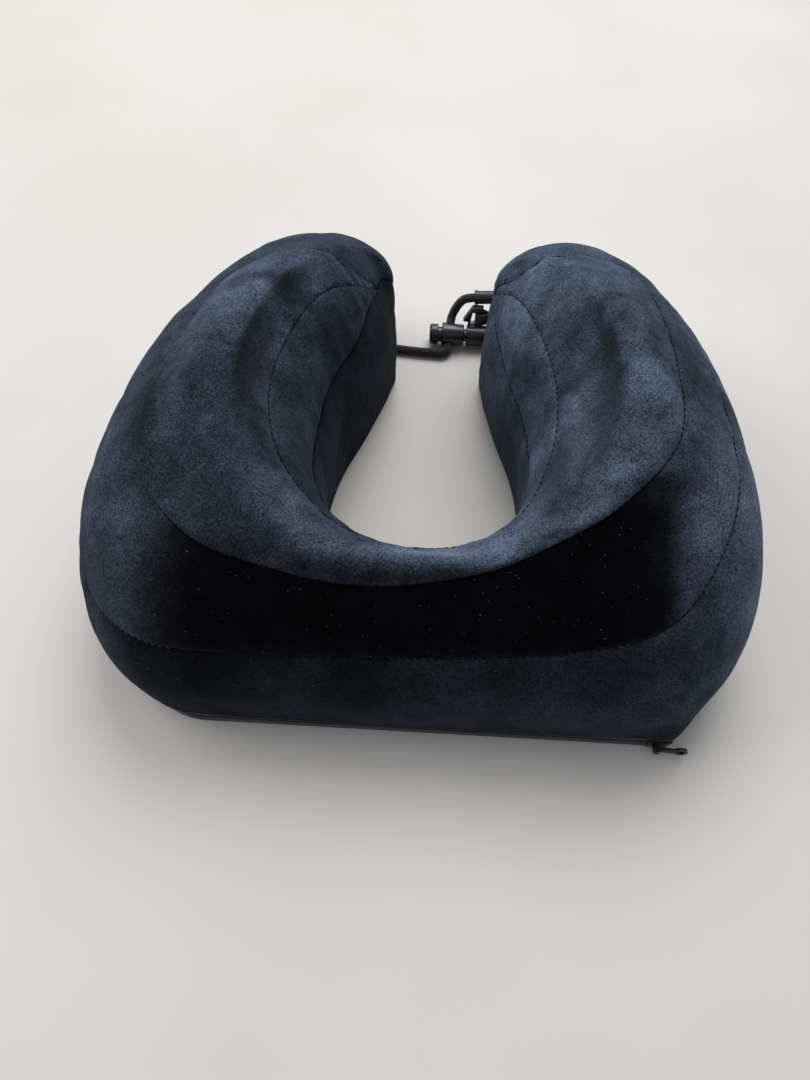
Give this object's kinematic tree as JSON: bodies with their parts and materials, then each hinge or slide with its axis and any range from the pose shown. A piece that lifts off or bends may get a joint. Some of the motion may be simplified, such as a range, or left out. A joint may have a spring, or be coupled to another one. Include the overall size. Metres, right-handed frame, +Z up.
{
  "type": "u shaped neck pillow",
  "caption": "U-shaped travel neck pillow: foam core in a zipped black velour cover, arm tips joined by a cord with a spring cord lock that plugs into a socket.",
  "frame": {"origin": "on the table, under the middle of the pillow's bounding box (the cord and its end cap left out)", "axes": "+X across the arms, towards the arm with the socket; +Y from the back of the neck towards the arm tips; +Z up"},
  "size_m": [0.2838, 0.2568, 0.118],
  "materials": {
    "foam": "open-cell memory foam, cream",
    "base_cloth": "flat woven black polyester",
    "velour": "black velour with a short soft pile",
    "zip_tape": "woven black tape",
    "zip_coil": "black nylon coil",
    "zip_metal": "black enamel, slightly worn",
    "lock_plastic": "moulded black nylon, satin",
    "spring_steel": "bright spring wire",
    "webbing": "woven dark grey polyester tape",
    "cord_braid": "tightly braided black polyester"
  },
  "bodies": {
    "pillow": {"foam_core": "foam", "bottom_panel": "base_cloth", "base_band": "velour", "outer_panel": "velour", "top_panel": "velour", "neck_panel": "velour", "throat_panel": "velour", "zip_tape_upper": "zip_tape", "zip_tape_lower": "zip_tape", "zip_coil_upper": "zip_coil", "zip_coil_lower": "zip_coil", "zip_stops": "zip_coil", "clasp_socket": "lock_plastic", "clasp_web": "webbing", "cord": "cord_braid"},
    "slider": {"zip_slider": "zip_metal"},
    "pull": {"zip_pull": "zip_metal"},
    "lock": {"lock_barrel": "lock_plastic", "lock_spring": "spring_steel", "cord_end_cap": "lock_plastic"},
    "knob": {"lock_plunger": "lock_plastic"}
  },
  "joints": [
    {"name": "zip_travel", "type": "slide", "parent": "pillow", "child": "slider", "axis": [-1, 0, 0], "range_m": [0, 0.19]},
    {"name": "zip_pull_swing", "type": "hinge", "parent": "slider", "child": "pull", "pos_m": [0.1034, -0.12645, 0.0046], "axis": [0, 0, 1], "range_deg": [-176, 8]},
    {"name": "lock_unplug", "type": "slide", "parent": "pillow", "child": "lock", "axis": [-1, 0, 0], "range_m": [0, 0.008], "deforming": ["cord"]},
    {"name": "plunger_press", "type": "slide", "parent": "lock", "child": "knob", "axis": [1, 0, 0], "range_m": [0, 0.002], "stiffness_N_per_m": 900, "deforming": ["lock_spring"]}
  ]
}
